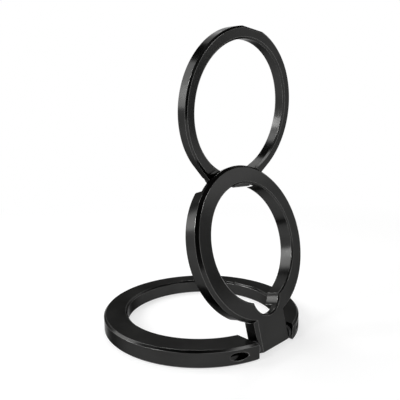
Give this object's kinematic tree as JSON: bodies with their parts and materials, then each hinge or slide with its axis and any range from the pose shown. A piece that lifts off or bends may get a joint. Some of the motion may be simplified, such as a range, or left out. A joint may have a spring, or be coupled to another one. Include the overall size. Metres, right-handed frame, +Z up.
{
  "type": "phone ring holder",
  "caption": "Folding phone ring holder: flat magnetic base ring with a gap, a hinged ring-shaped support arm standing in it, and a slim finger ring hinged behind the arm's top.",
  "frame": {"origin": "on the base ring's axis, at the height of the surface that the base's underside lies on", "axes": "+Z up, out of the base; both hinge axes run along X; the lower hinge and the gap are on the -Y side, which the arm's front faces"},
  "size_m": [0.056, 0.0551, 0.0782],
  "materials": {
    "black_casting": "satin black anodised",
    "soft_pad": "matt soft pad",
    "pin_steel": "dark steel",
    "washer": "black acetal",
    "magnet": "nickel plated"
  },
  "bodies": {
    "base": {"base_ring": "black_casting", "base_pad": "soft_pad", "base_hinge_pin": "pin_steel", "base_washer_left": "washer", "base_washer_right": "washer", "magnet_01": "magnet", "magnet_02": "magnet", "magnet_03": "magnet", "magnet_04": "magnet", "magnet_05": "magnet", "magnet_06": "magnet", "magnet_07": "magnet", "magnet_08": "magnet", "magnet_09": "magnet", "magnet_10": "magnet", "magnet_11": "magnet", "magnet_12": "magnet", "magnet_13": "magnet", "magnet_14": "magnet", "magnet_15": "magnet", "magnet_16": "magnet"},
    "arm": {"support_arm": "black_casting"},
    "grip": {"grip_ring": "black_casting", "grip_hinge_pin": "pin_steel", "grip_washer_left": "washer", "grip_washer_right": "washer"}
  },
  "joints": [
    {"name": "base_hinge", "type": "hinge", "parent": "base", "child": "arm", "pos_m": [0, -0.02525, 0.0022], "axis": [1, 0, 0], "range_deg": [-68.5, 44.4]},
    {"name": "upper_hinge", "type": "hinge", "parent": "arm", "child": "grip", "pos_m": [0, -0.01148, 0.04197], "axis": [1, 0, 0], "range_deg": [-203.5, 0]}
  ]
}
